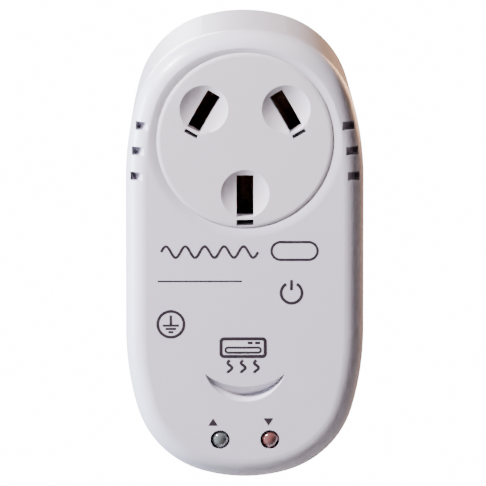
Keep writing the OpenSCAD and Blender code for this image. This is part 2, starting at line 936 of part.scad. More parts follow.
module line_out_lead() {
  z = clip_z - clip_h * line_tail_share;
  a = pole_point(LINE, -strip_t / 2 - lead_tail_gap - lead_r, 0, clip_z - strip_t);
  color([0.7, 0.12, 0.1])
  stand() wire([a, [a[0], a[1], z], [lead_out_mid_x, lead_out_mid_y, z],
    [lead_out_x, pad_y, lead_hop], [lead_out_x, pad_y, board_face + seat]], lead_r);
}

module neutral_lead() {
  a = pole_point(NEUTRAL, 0, lead_head_y, head_top + seat);
  color([0.15, 0.3, 0.65])
  stand() wire([a, [a[0], a[1], lead_top], [-lead_mid_x, lead_mid_y, lead_top],
    [-lead_in_x, pad_y, lead_hop], [-lead_in_x, pad_y, board_face + seat]], thin_lead_r);
}

module circuit_board() {
  color([0.62, 0.45, 0.25])
  stand() translate([0, 0, board_z]) linear_extrude(board_t)
    difference() {
      intersection() {
        outline(wall + draft + board_gap);
        translate([-half_w, bottom_y]) square([body_w, -board_top - bottom_y]);
      }
      for (q = boss_places) translate(q) circle(d = screw_d + board_hole_fit, $fn = 32);
      for (q = terminals_at) translate([relay_x + q[0], relay_y + q[1]])
        circle(d = terminal_hole, $fn = 24);
    }
}

function lead_pairs() = [for (i = [0 : diode_n - 1], s = [-1, 1])
  [diode_x0 + i * diode_pitch, diode_y + s * diode_span / 2]];
function res_pairs() = [for (q = res_at, s = [-1, 1])
  [q[0] + s * res_span / 2 * sin(q[2]), q[1] + s * res_span / 2 * cos(q[2])]];
function chip_pads() = [for (i = [0 : chip_n - 1], s = [-1, 1])
  [chip_x + (i - (chip_n - 1) / 2) * chip_pitch, chip_y + s * (chip_w / 2 + chip_leg_out / 2)]];
function other_pads() = [[lead_in_x, pad_y], [lead_out_x, pad_y], [-lead_in_x, pad_y],
  [film_x, film_y + film_l * 3 / 8], [film_x, film_y - film_l * 3 / 8],
  [mov_x, mov_y + mov_pitch / 2], [mov_x, mov_y - mov_pitch / 2],
  [cap_x, cap_y + cap_d / 4], [cap_x, cap_y - cap_d / 4]];

module solder_joints() {
  color([0.75, 0.75, 0.76])
  stand() for (q = concat(lead_pairs(), res_pairs(), chip_pads(), other_pads()))
    translate([q[0], q[1], board_z - seat - joint_h])
      cylinder(r1 = joint_tip_r, r2 = joint_r, h = joint_h, $fn = 24);
}

module in_relay() {
  on_board(relay_x, relay_y) children();
}

module relay_base() {
  color([0.12, 0.12, 0.13])
  stand() in_relay() translate([0, 0, seat])
    rounded_box(relay_l - 2 * relay_wall - 2 * relay_gap,
      relay_w - 2 * relay_wall - 2 * relay_gap, relay_base_t - seat, relay_corner_r / 2);
}

module relay_cover() {
  color([0.12, 0.25, 0.55])
  stand() in_relay() difference() {
    translate([0, 0, seat]) rounded_box(relay_l, relay_w, relay_h - seat, relay_corner_r);
    translate([0, 0, -over])
      rounded_box(relay_l - 2 * relay_wall, relay_w - 2 * relay_wall,
        relay_h - relay_wall + over, relay_corner_r / 2);
  }
}

module relay_terminals() {
  color([0.75, 0.75, 0.76])
  stand() in_relay() for (q = terminals_at)
    translate([q[0], q[1], -terminal_out]) box(terminal_w, terminal_t, terminal_out);
}

module relay_yoke() {
  color([0.6, 0.6, 0.62])
  stand() in_relay() difference() {
    union() {
      translate([yoke_u, -yoke_w / 2, relay_base_t])
        cube([coil_u - yoke_u + yoke_reach, yoke_w, iron_t]);
      translate([yoke_u, -yoke_w / 2, relay_base_t])
        cube([iron_t, yoke_w, arm_z - hinge_gap - relay_base_t]);
    }
    translate([coil_u, 0, 0]) cylinder(r = core_r, h = relay_base_t + iron_t + over);
  }
}

module relay_core() {
  color([0.55, 0.55, 0.57])
  stand() in_relay() translate([coil_u, 0, 0]) {
    translate([0, 0, relay_base_t]) cylinder(r = core_r, h = pole_top - relay_base_t);
    translate([0, 0, pole_top - pole_cap_t]) cylinder(r = pole_cap_r, h = pole_cap_t);
  }
}

bobbin_z = relay_base_t + iron_t + seat;
bobbin_h = pole_top - pole_cap_t - seat - bobbin_z;

module relay_bobbin() {
  color([0.85, 0.83, 0.75])
  stand() in_relay() translate([coil_u, 0, bobbin_z]) difference() {
    union() {
      cylinder(r = core_r + coil_play + bobbin_wall, h = bobbin_h);
      for (z = [0, bobbin_h - bobbin_flange_t]) translate([0, 0, z])
        rounded_box(bobbin_flange_l, bobbin_flange_w, bobbin_flange_t, relay_corner_r);
    }
    translate([0, 0, -over]) cylinder(r = core_r + coil_play, h = bobbin_h + 2 * over);
  }
}

module relay_winding() {
  r = core_r + 2 * coil_play + bobbin_wall;
  h = bobbin_h - 2 * bobbin_flange_t - 2 * coil_play;
  color([0.7, 0.36, 0.16])
  stand() in_relay() translate([coil_u, 0, bobbin_z + bobbin_flange_t + coil_play])
    difference() {
      cylinder(r = coil_r, h = h);
      translate([0, 0, -over]) cylinder(r = r, h = h + 2 * over);
    }
}

module relay_armature() {
  color([0.65, 0.65, 0.67])
  stand() in_relay() translate([arm_u0, -arm_w / 2, arm_z])
    cube([arm_u1 - arm_u0, arm_w, iron_t]);
}

module relay_moving_contact() {
  color([0.83, 0.6, 0.4])
  stand() in_relay() {
    translate([leaf_u0, -leaf_w / 2, leaf_z]) cube([leaf_u1 - leaf_u0, leaf_w, leaf_t]);
    for (s = [-1, 1]) translate([coil_u, s * leaf_w / 4, leaf_z])
      cylinder(d = leaf_rivet_d, h = leaf_t + leaf_rivet_t, $fn = 24);
    translate([button_u, 0, leaf_z - button_low_t])
      cylinder(r = button_r, h = button_low_t + leaf_t + button_up_t);
  }
}

// fixed contact that the moving one reaches when the coil is live
module relay_open_contact() {
  top = leaf_z - button_low_t - contact_travel;
  color([0.83, 0.6, 0.4])
  stand() in_relay() {
    translate([open_u - strip2_t, -open_w / 2, relay_base_t])
      cube([strip2_t, open_w, top - open_button_t - relay_base_t]);
    translate([button_u - button_r, -open_w / 2, top - open_button_t - strip2_t])
      cube([open_u - button_u + button_r, open_w, strip2_t]);
    translate([button_u, 0, top - open_button_t]) cylinder(r = button_r, h = open_button_t);
  }
}

// fixed contact that the moving one rests on when the coil is dead
module relay_closed_contact() {
  z = leaf_z + leaf_t + button_up_t + contact_play;
  color([0.83, 0.6, 0.4])
  stand() in_relay() {
    translate([button_u - button_r, closed_y, relay_base_t])
      cube([2 * button_r, strip2_t, z + button_up_t + strip2_t - relay_base_t]);
    translate([button_u - button_r, -button_r, z + button_up_t])
      cube([2 * button_r, closed_y + strip2_t + button_r, strip2_t]);
    translate([button_u, 0, z]) cylinder(r = button_r, h = button_up_t);
  }
}

module relay_return_spring() {
  u = yoke_u - seat - spring_t;
  top = arm_top + spring_play;
  color([0.8, 0.7, 0.45])
  stand() in_relay() {
    translate([u, -spring_w / 2, spring_foot_z]) cube([spring_t, spring_w, top + spring_t - spring_foot_z]);
    translate([u, -spring_w / 2, top]) cube([spring_reach, spring_w, spring_t]);
  }
}

module film_capacitor() {
  color([0.75, 0.6, 0.15])
  stand() on_board(film_x, film_y) translate([0, 0, seat])
    intersection() {
      rounded_box(film_w, film_l, film_h, film_r);
      translate([0, film_l / 2, 0]) rotate([90, 0, 0]) linear_extrude(film_l) {
        translate([-film_w / 2, 0]) square([film_w, film_h - film_r]);
        translate([-film_w / 2 + film_r, 0]) square([film_w - 2 * film_r, film_h]);
        for (s = [-1, 1]) translate([s * (film_w / 2 - film_r), film_h - film_r])
          circle(r = film_r, $fn = 24);
      }
    }
}

module electrolytic_capacitor() {
  r = cap_d / 2;
  color([0.12, 0.13, 0.2])
  stand() on_board(cap_x, cap_y) translate([0, 0, seat])
    rotate_extrude($fn = 64)
      difference() {
        union() {
          square([r, cap_h - cap_r]);
          square([r - cap_r, cap_h]);
          translate([r - cap_r, cap_h - cap_r]) circle(r = cap_r, $fn = 24);
        }
        translate([r + cap_groove, cap_groove_z]) circle(r = 2 * cap_groove, $fn = 24);
        translate([-over, cap_h - cap_rim_t])
          square([r - 2 * cap_r + over, cap_rim_t + over]);
      }
}

module varistor() {
  r = mov_d / 2;
  z = mov_lift + r;
  color([0.15, 0.3, 0.6])
  stand() on_board(mov_x, mov_y) {
    translate([-mov_t / 2, 0, z]) rotate([0, 90, 0])
      rotate_extrude($fn = 64) {
        square([r - mov_edge_r, mov_t]);
        translate([0, mov_edge_r]) square([r, mov_t - 2 * mov_edge_r]);
        for (q = [mov_edge_r, mov_t - mov_edge_r])
          translate([r - mov_edge_r, q]) circle(r = mov_edge_r, $fn = 24);
      }
    for (s = [-1, 1]) translate([0, s * mov_pitch / 2, seat])
      cylinder(d = wire_d, h = z, $fn = 24);
  }
}

// part that lies on the board with a bent wire at each end; children draw it along Y
module lying(span, z) {
  for (s = [-1, 1])
    wire([[0, 0, z], [0, s * span / 2, z], [0, s * span / 2, seat]], wire_d / 2);
  translate([0, 0, z]) rotate([90, 0, 0]) children();
}

module diodes() {
  color([0.1, 0.1, 0.11])
  stand() for (i = [0 : diode_n - 1])
    on_board(diode_x0 + i * diode_pitch, diode_y)
      lying(diode_span, diode_d / 2 + diode_lift)
        cylinder(d = diode_d, h = diode_l, center = true, $fn = 32);
}

module resistors() {
  color([0.55, 0.7, 0.75])
  stand() for (q = res_at)
    on_board(q[0], q[1]) rotate([0, 0, q[2]])
      lying(res_span, res_bulb_d / 2 + res_lift) {
        cylinder(d = res_d, h = res_l, center = true, $fn = 32);
        for (s = [-1, 1]) translate([0, 0, s * (res_l - res_bulb_l) / 2])
          cylinder(d = res_bulb_d, h = res_bulb_l, center = true, $fn = 32);
      }
}

module transistor() {
  color([0.1, 0.1, 0.11])
  stand() on_board(tr_x, tr_y) {
    translate([0, 0, tr_lift]) difference() {
      cylinder(r = tr_r, h = tr_h, $fn = 48);
      translate([-tr_r, -tr_r - tr_flat, -over]) cube([2 * tr_r, tr_r, tr_h + 2 * over]);
    }
    for (i = [-1 : 1]) translate([i * tr_pitch, 0, seat]) box(led_lead_t, led_lead_t, tr_lift);
  }
}

module microcontroller() {
  color([0.1, 0.1, 0.11])
  stand() on_board(chip_x, chip_y) {
    difference() {
      translate([0, 0, chip_lift]) box(chip_l, chip_w, chip_h);
      translate([-chip_l / 2, 0, chip_lift + chip_h - chip_notch_t])
        cylinder(r = chip_notch_r, h = over, $fn = 32);
    }
    for (i = [0 : chip_n - 1], s = [-1, 1])
      translate([(i - (chip_n - 1) / 2) * chip_pitch, s * chip_w / 2, 0]) {
        translate([-chip_leg_w / 2, s > 0 ? 0 : -chip_leg_out, chip_lift + chip_h / 2])
          cube([chip_leg_w, chip_leg_out, chip_leg_t]);
        translate([-chip_leg_w / 2, s > 0 ? chip_leg_out - chip_leg_t : -chip_leg_out, seat])
          cube([chip_leg_w, chip_leg_t, chip_lift + chip_h / 2]);
      }
  }
}

module lamp(side) {
  r = led_d / 2;
  stand() at_lamp(side) translate([0, 0, led_rim_z]) {
    cylinder(d = led_rim_d, h = led_rim_t, $fn = 48);
    cylinder(r = r, h = led_rim_t + led_body - r, $fn = 48);
    translate([0, 0, led_rim_t + led_body - r]) sphere(r = r, $fn = 48);
  }
}

module led_high() {
  color([0.35, 0.36, 0.36]) lamp(-1);
}

module led_low() {
  color([0.42, 0.2, 0.18]) lamp(1);
}

module at_led_leads(side) {
  at_lamp(side)
    for (s = [-1, 1]) translate([s * led_lead_pitch / 2, 0, board_face + seat]) children();
}

module led_spacers() {
  color([0.9, 0.9, 0.88])
  stand() for (side = [-1, 1]) difference() {
    at_lamp(side) translate([0, 0, board_face + seat])
      cylinder(d = spacer_d, h = led_rim_z - 2 * seat - board_face, $fn = 48);
    at_led_leads(side) translate([0, 0, -over])
      box(led_lead_t + 2 * led_lead_fit, led_lead_t + 2 * led_lead_fit, body_d);
  }
}

module led_leads() {
  color([0.75, 0.75, 0.76])
  stand() for (side = [-1, 1])
    at_led_leads(side) box(led_lead_t, led_lead_t, led_rim_z - 2 * seat - board_face);
}

front_shell();
rear_shell();
housing_screws();
socket_face();
contact_carrier();
carrier_screws();
line_contact();
neutral_contact();
earth_contact();
line_pin();
neutral_pin();
earth_pin();
pin_block();
line_in_lead();
line_out_lead();
neutral_lead();
circuit_board();
solder_joints();
relay_base();
relay_cover();
relay_terminals();
relay_yoke();
relay_core();
relay_bobbin();
relay_winding();
relay_armature();
relay_moving_contact();
relay_open_contact();
relay_closed_contact();
relay_return_spring();
film_capacitor();
electrolytic_capacitor();
varistor();
diodes();
resistors();
transistor();
microcontroller();
led_high();
led_low();
led_spacers();
led_leads();
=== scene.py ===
# Looks of the plug-through voltage protector: plastics, metals, printed marks, studio.
import math

import bmesh
import bpy
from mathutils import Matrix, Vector


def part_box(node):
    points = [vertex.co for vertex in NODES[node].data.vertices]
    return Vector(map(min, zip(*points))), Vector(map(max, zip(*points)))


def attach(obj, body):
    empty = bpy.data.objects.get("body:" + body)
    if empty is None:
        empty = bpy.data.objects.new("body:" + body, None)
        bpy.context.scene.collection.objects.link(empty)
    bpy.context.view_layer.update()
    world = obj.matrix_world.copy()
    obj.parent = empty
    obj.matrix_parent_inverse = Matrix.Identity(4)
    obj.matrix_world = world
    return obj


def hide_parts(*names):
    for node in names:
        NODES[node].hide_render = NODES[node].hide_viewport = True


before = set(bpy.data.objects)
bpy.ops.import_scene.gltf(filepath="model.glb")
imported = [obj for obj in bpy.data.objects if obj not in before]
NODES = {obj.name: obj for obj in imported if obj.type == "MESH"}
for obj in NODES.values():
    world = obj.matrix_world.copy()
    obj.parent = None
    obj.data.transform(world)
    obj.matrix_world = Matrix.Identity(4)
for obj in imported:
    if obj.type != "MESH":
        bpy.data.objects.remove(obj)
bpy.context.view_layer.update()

MM = 0.001
SHELL_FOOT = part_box("front_shell")[0].z / MM

# the photograph's frame: pixels a millimetre on the face, and where the pin pattern's centre lies
PX_X, PX_Z = 5.984, 5.907
PX_MID = (245.0, 140.8)
FACE_Y = -33.0
DISC_Z = -0.9


def on_face(px, py):
    """A pixel of the photograph as millimetres on the face: x to the right, z up."""
    return Vector(((px - PX_MID[0]) / PX_X, -(py - PX_MID[1]) / PX_Z + DISC_Z))


# Shader groups

# how fine the shared patterns are, in cycles a metre
RIPPLE_SCALE, DRIFT_SCALE, SPECK_SCALE, PATCH_SCALE = 140.0, 55.0, 900.0, 260.0
# the lines of drawn metal are stretched along the depth
LINE_STRETCH = (1.0, 0.04, 1.0)
GRAIN_DEPTH = 0.3


def shader_group(name, inputs, outputs):
    """An empty shader group with named inputs (name, default) and outputs (name, type)."""
    tree = bpy.data.node_groups.new(name, "ShaderNodeTree")
    for label, value in inputs:
        kind = "NodeSocketColor" if hasattr(value, "__len__") else "NodeSocketFloat"
        tree.interface.new_socket(label, in_out="INPUT", socket_type=kind).default_value = value
    for label, kind in outputs:
        tree.interface.new_socket(label, in_out="OUTPUT", socket_type=kind)
    return tree, tree.nodes.new("NodeGroupInput"), tree.nodes.new("NodeGroupOutput")


def noise(tree, coords, scale, detail=2.0, roughness=0.5):
    n = tree.nodes.new("ShaderNodeTexNoise")
    n.inputs["Detail"].default_value = detail
    n.inputs["Roughness"].default_value = roughness
    tree.links.new(coords, n.inputs["Vector"])
    if isinstance(scale, (int, float)):
        n.inputs["Scale"].default_value = scale
    else:
        tree.links.new(scale, n.inputs["Scale"])
    return n.outputs["Fac"]


def ranged(tree, value, low, high, to_low, to_high):
    """value from low..high spread over to_low..to_high, clamped."""
    n = tree.nodes.new("ShaderNodeMapRange")
    labels = ("Value", "From Min", "From Max", "To Min", "To Max")
    for slot, v in zip(labels, (value, low, high, to_low, to_high)):
        if isinstance(v, (int, float)):
            n.inputs[slot].default_value = v
        else:
            tree.links.new(v, n.inputs[slot])
    return n.outputs["Result"]


def math_node(tree, operation, a, b):
    n = tree.nodes.new("ShaderNodeMath")
    n.operation = operation
    for i, v in enumerate((a, b)):
        if isinstance(v, (int, float)):
            n.inputs[i].default_value = v
        else:
            tree.links.new(v, n.inputs[i])
    return n.outputs[0]


def blend_colour(tree, factor, a, b):
    n = tree.nodes.new("ShaderNodeMix")
    n.data_type = "RGBA"
    tree.links.new(factor, n.inputs[0])
    for socket, v in ((n.inputs[6], a), (n.inputs[7], b)):
        if hasattr(v, "__len__"):
            socket.default_value = v
        else:
            tree.links.new(v, socket)
    return n.outputs[2]


def moulded_surface():
    """Injection-moulded plastic: a fine spark-eroded grain, a slow ripple and a little tone drift."""
    tree, given, made = shader_group(
        "moulded_surface",
        [
            ("Colour", (0.8, 0.8, 0.8, 1)),
            ("Shade", (0.7, 0.7, 0.7, 1)),
            ("Roughness", 0.4),
            ("Roughness Spread", 0.08),
            ("Grain Scale", 4000.0),
            ("Grain Depth", 0.3),
            ("Ripple Depth", 0.5),
        ],
        [("Colour", "NodeSocketColor"), ("Roughness", "NodeSocketFloat"), ("Height", "NodeSocketFloat")],
    )
    coords = tree.nodes.new("ShaderNodeTexCoord").outputs["Object"]
    grain = noise(tree, coords, given.outputs["Grain Scale"], 3.0, 0.6)
    ripple = noise(tree, coords, RIPPLE_SCALE, 1.0)
    drift = noise(tree, coords, DRIFT_SCALE, 4.0, 0.6)
    specks = noise(tree, coords, SPECK_SCALE, 2.0)
    tone = ranged(tree, drift, 0.35, 0.7, 0.0, 1.0)
    colour = blend_colour(tree, tone, given.outputs["Colour"], given.outputs["Shade"])
    tree.links.new(colour, made.inputs["Colour"])
    uneven = ranged(tree, specks, 0.3, 0.7, -1.0, 1.0)
    spread = math_node(tree, "MULTIPLY", uneven, given.outputs["Roughness Spread"])
    tree.links.new(math_node(tree, "ADD", given.outputs["Roughness"], spread), made.inputs["Roughness"])
    height = math_node(
        tree,
        "ADD",
        math_node(tree, "MULTIPLY", grain, given.outputs["Grain Depth"]),
        math_node(tree, "MULTIPLY", ripple, given.outputs["Ripple Depth"]),
    )
    tree.links.new(height, made.inputs["Height"])
    return tree


def drawn_metal():
    """Rolled or drawn metal: long fine lines along one axis, a dull film in patches."""
    tree, given, made = shader_group(
        "drawn_metal",
        [
            ("Colour", (0.8, 0.6, 0.3, 1)),
            ("Film", (0.5, 0.35, 0.2, 1)),
            ("Roughness", 0.3),
            ("Roughness Spread", 0.12),
            ("Line Scale", 1500.0),
            ("Line Depth", 0.4),
            ("Film Amount", 0.5),
        ],
        [("Colour", "NodeSocketColor"), ("Roughness", "NodeSocketFloat"), ("Height", "NodeSocketFloat")],
    )
    coords = tree.nodes.new("ShaderNodeTexCoord").outputs["Object"]
    stretch = tree.nodes.new("ShaderNodeMapping")
    stretch.inputs["Scale"].default_value = LINE_STRETCH
    tree.links.new(coords, stretch.inputs["Vector"])
    lines = noise(tree, stretch.outputs["Vector"], given.outputs["Line Scale"], 3.0, 0.7)
    patches = noise(tree, coords, PATCH_SCALE, 5.0, 0.65)
    dull = ranged(tree, patches, 0.42, 0.72, 0.0, 1.0)
    film = math_node(tree, "MULTIPLY", dull, given.outputs["Film Amount"])
    colour = blend_colour(tree, film, given.outputs["Colour"], given.outputs["Film"])
    tree.links.new(colour, made.inputs["Colour"])
    uneven = ranged(tree, patches, 0.3, 0.7, -0.5, 1.0)
    spread = math_node(tree, "MULTIPLY", uneven, given.outputs["Roughness Spread"])
    tree.links.new(math_node(tree, "ADD", given.outputs["Roughness"], spread), made.inputs["Roughness"])
    tree.links.new(math_node(tree, "MULTIPLY", lines, given.outputs["Line Depth"]), made.inputs["Height"])
    return tree


MOULDED = moulded_surface()
DRAWN = drawn_metal()


def rgba(colour):
    return (*colour, 1.0)


def finish(name, group, values, bump=0.1, bump_reach=0.0001, **constants):
    """A material whose colour, roughness and bump come from shared groups; constants stay on the shader."""
    mat = bpy.data.materials.new(name)
    mat.use_nodes = True
    tree = mat.node_tree
    shader = tree.nodes["Principled BSDF"]
    surface = tree.nodes.new("ShaderNodeGroup")
    surface.node_tree = group
    for label, value in values.items():
        surface.inputs[label].default_value = rgba(value) if hasattr(value, "__len__") else value
    relief = tree.nodes.new("ShaderNodeBump")
    relief.inputs["Strength"].default_value = bump
    relief.inputs["Distance"].default_value = bump_reach
    tree.links.new(surface.outputs["Colour"], shader.inputs["Base Color"])
    tree.links.new(surface.outputs["Roughness"], shader.inputs["Roughness"])
    tree.links.new(surface.outputs["Height"], relief.inputs["Height"])
    tree.links.new(relief.outputs["Normal"], shader.inputs["Normal"])
    for label, value in constants.items():
        shader.inputs[label.replace("_", " ").title().replace("Ior", "IOR")].default_value = value
    return mat


def plastic(name, colour, shade, rough, grain=4000.0, ripple=0.5, spread=0.06, bump=0.12, **constants):
    values = {
        "Colour": colour,
        "Shade": shade,
        "Roughness": rough,
        "Roughness Spread": spread,
        "Grain Scale": grain,
        "Grain Depth": GRAIN_DEPTH,
        "Ripple Depth": ripple,
    }
    return finish(name, MOULDED, values, bump=bump, **constants)


def metal(name, colour, film, rough, lines=1500.0, depth=0.4, amount=0.5, spread=0.12, bump=0.15,
          **constants):
    values = {
        "Colour": colour,
        "Film": film,
        "Roughness": rough,
        "Roughness Spread": spread,
        "Line Scale": lines,
        "Line Depth": depth,
        "Film Amount": amount,
    }
    return finish(name, DRAWN, values, bump=bump, metallic=1.0, **constants)


GLOSSY = {"coat_weight": 1.0, "coat_roughness": 0.04}
SATIN = {"coat_weight": 0.25, "coat_roughness": 0.2}

SHELL = plastic("shell_plastic", (0.775, 0.75, 0.81), (0.75, 0.725, 0.785), 0.36, **SATIN)
SOCKET = plastic("socket_plastic", (0.805, 0.765, 0.805), (0.78, 0.74, 0.78), 0.38, **SATIN)
CARRIER = plastic("carrier_plastic", (0.018, 0.016, 0.016), (0.03, 0.026, 0.024), 0.5)
BLOCK = plastic("pin_block_plastic", (0.035, 0.034, 0.036), (0.05, 0.048, 0.05), 0.5)
SPACER = plastic("spacer_plastic", (0.75, 0.73, 0.66), (0.7, 0.67, 0.6), 0.45)
BOBBIN = plastic("bobbin_plastic", (0.7, 0.66, 0.54), (0.62, 0.58, 0.46), 0.5)
RELAY = plastic("relay_cover_plastic", (0.012, 0.07, 0.3), (0.016, 0.08, 0.33), 0.3, coat_weight=0.2)
RELAY_BASE = plastic("relay_base_plastic", (0.02, 0.02, 0.022), (0.03, 0.03, 0.032), 0.55)
BOARD = plastic("board_laminate", (0.34, 0.2, 0.07), (0.27, 0.15, 0.05), 0.45, grain=900.0, spread=0.1)
FILM_BOX = plastic("film_capacitor_box", (0.62, 0.36, 0.03), (0.56, 0.31, 0.025), 0.35)
CAN_SLEEVE = plastic("capacitor_sleeve", (0.01, 0.014, 0.05), (0.016, 0.02, 0.06), 0.28, coat_weight=0.4)
VARISTOR = plastic("varistor_dip", (0.012, 0.06, 0.3), (0.018, 0.075, 0.33), 0.42,
                   grain=1500.0, ripple=1.2, bump=0.3)
EPOXY = plastic("black_epoxy", (0.012, 0.012, 0.013), (0.02, 0.02, 0.021), 0.55, grain=6000.0)
RESISTOR = plastic("resistor_lacquer", (0.16, 0.36, 0.46), (0.13, 0.31, 0.4), 0.35, ripple=1.0)
WIRE_BROWN = plastic("wire_brown", (0.1, 0.035, 0.012), (0.085, 0.03, 0.01), 0.4)
WIRE_RED = plastic("wire_red", (0.42, 0.015, 0.012), (0.36, 0.012, 0.01), 0.4)
WIRE_BLUE = plastic("wire_blue", (0.012, 0.06, 0.36), (0.01, 0.05, 0.31), 0.4)
INK = plastic(
    "dark_ink", (0.03, 0.021, 0.028), (0.04, 0.03, 0.038), 0.6,
    grain=7000.0, spread=0.1, specular_ior_level=0.25
)
LENS_GREY = plastic("lens_grey", (0.1, 0.115, 0.11), (0.14, 0.15, 0.145), 0.12, ripple=0.2, **GLOSSY)
LENS_RED = plastic("lens_red", (0.16, 0.06, 0.055), (0.2, 0.08, 0.07), 0.12, ripple=0.2, **GLOSSY)
BRASS = metal("pin_brass", (0.83, 0.62, 0.3), (0.7, 0.5, 0.22), 0.24, amount=0.25, spread=0.05)
# the socket contacts' brass is painted dark brown: painted shade of the deep slots they sit in, not their
# own colour
CONTACT_BRASS_PAINTED_SHADE = metal("contact_brass", (0.42, 0.2, 0.13), (0.16, 0.08, 0.05), 0.5, amount=0.6)
COPPER_ALLOY = metal("contact_copper", (0.82, 0.5, 0.33), (0.5, 0.26, 0.16), 0.28)
STEEL = metal("screw_steel", (0.6, 0.6, 0.62), (0.4, 0.39, 0.38), 0.32, amount=0.6)
IRON = metal("soft_iron", (0.5, 0.5, 0.52), (0.36, 0.35, 0.35), 0.36, amount=0.6)
TIN = metal("tinned", (0.74, 0.74, 0.75), (0.58, 0.58, 0.58), 0.3, lines=700.0)
SPRING = metal("spring_bronze", (0.78, 0.56, 0.32), (0.5, 0.32, 0.16), 0.28, amount=0.4)
COPPER_WIRE = metal("winding_copper", (0.72, 0.3, 0.12), (0.5, 0.18, 0.07), 0.25,
                    coat_weight=0.6, coat_roughness=0.1)

LOOKS = {
    SHELL: ["front_shell", "rear_shell"],
    SOCKET: ["socket_face"],
    CARRIER: ["contact_carrier"],
    BLOCK: ["pin_block"],
    SPACER: ["led_spacers"],
    BOBBIN: ["relay_bobbin"],
    RELAY: ["relay_cover"],
    RELAY_BASE: ["relay_base"],
    BOARD: ["circuit_board"],
    FILM_BOX: ["film_capacitor"],
    CAN_SLEEVE: ["electrolytic_capacitor"],
    VARISTOR: ["varistor"],
    EPOXY: ["diodes", "transistor", "microcontroller"],
    RESISTOR: ["resistors"],
    WIRE_BROWN: ["line_in_lead"],
    WIRE_RED: ["line_out_lead"],
    WIRE_BLUE: ["neutral_lead"],
    LENS_GREY: ["led_high"],
    LENS_RED: ["led_low"],
    BRASS: ["line_pin", "neutral_pin", "earth_pin"],
    CONTACT_BRASS_PAINTED_SHADE: ["line_contact", "neutral_contact", "earth_contact"],
    SPRING: ["relay_return_spring"],
    COPPER_ALLOY: ["relay_moving_contact", "relay_open_contact", "relay_closed_contact"],
    STEEL: ["housing_screws", "carrier_screws"],
    IRON: ["relay_yoke", "relay_core", "relay_armature"],
    TIN: ["solder_joints", "relay_terminals", "led_leads"],
    COPPER_WIRE: ["relay_winding"],
}
for look, names in LOOKS.items():
    for name in names:
        slots = NODES[name].material_slots
        if slots:
            slots[0].material = look
        else:
            NODES[name].data.materials.append(look)

# Soft rims

# a rim by the disc's gap: the radius where it begins to fall, the radius of its edge, its fall there
SHELL_RIM = (16.7, 14.85, 0.3)
DISC_RIM = (14.0, 14.8, 0.2)
# the thumb recess lies between an arc above and a rounder one below, given by radius and centre height
ARC_R, ARC_Z = 11.3, SHELL_FOOT + 27.1
BELLY_R, BELLY_Z = 7.1, SHELL_FOOT + 20.3
RECESS_W, RECESS_DEPTH, RECESS_SPREAD = 2.6, 1.7, 36.2
# where across the recess it is deepest, and how fast it gets shallow towards its tips
RECESS_LOW, RECESS_TAPER = 0.57, 0.6
RECESS_BED = ((-0.25, 0.03), (3.0, 0.03), (3.0, 2.0), (-0.25, 2.0))
# the disc's shoulder, which fills the gap to a hairline below the rims: radii and depths below the face
SHOULDER = ((14.6, 0.36), (14.88, 0.36), (14.88, 1.8), (14.6, 1.8))
SHARP_ANGLE = math.radians(10)
RING_STEPS, BED_STEPS = 240, 96
# how far past the recess's tips its bed goes on, in degrees
BED_MARGIN = 4.0
# how far outside the face a cut's curve begins, and how far the cutter reaches out from there
CUT_LIFT, CUT_REACH = 0.004, 0.4
# points nearer than this, in metres, are one point
SAME_POINT = 1e-7


def roll_section(begin, edge, fall, steps=9):
    """The section of what the soft rim takes away, as (radius, y): a parabola from the face to the edge."""
    curve = []
    for i in range(steps + 1):
        share = i / steps
        curve.append((begin + (edge - begin) * share, FACE_Y - CUT_LIFT + fall * share * share))
    return curve + [(edge, FACE_Y - CUT_REACH), (begin, FACE_Y - CUT_REACH)]


def closed_loft(name, bm, rows, whole):
    """Skins rows of points into a closed solid; where the rows don't meet in a ring, its ends are shut."""
    if not whole:
        bm.faces.new(rows[0])
        bm.faces.new(rows[-1])
    for i in range(len(rows) if whole else len(rows) - 1):
        here, there = rows[i], rows[(i + 1) % len(rows)]
        for k in range(len(here)):
            m = (k + 1) % len(here)
            bm.faces.new((here[k], here[m], there[m], there[k]))
    bmesh.ops.recalc_face_normals(bm, faces=bm.faces)
    mesh = bpy.data.meshes.new(name)
    bm.to_mesh(mesh)
    bm.free()
    obj = bpy.data.objects.new(name, mesh)
    bpy.context.scene.collection.objects.link(obj)
    return obj


def turned(name, section, centre_z=DISC_Z, start=0.0, sweep=360.0, steps=RING_STEPS):
    """A section turned round an axis through the face: a closed ring, or part of one with shut ends."""
    bm = bmesh.new()
    whole = sweep >= 360.0
    rows = []
    for i in range(steps if whole else steps + 1):
        a = math.radians(start + sweep * i / steps)
        spot = [Vector((r * math.cos(a), y, r * math.sin(a) + centre_z)) for r, y in section]
        rows.append([bm.verts.new(p * MM) for p in spot])
    return closed_loft(name, bm, rows, whole)


def recess_depth(share):
    """How deep the recess is across its width: a sloping wall below the arc, then a soft way out."""
    if share < RECESS_LOW:
        return share / RECESS_LOW
    return 0.5 + 0.5 * math.cos(math.pi * (share - RECESS_LOW) / (1 - RECESS_LOW))


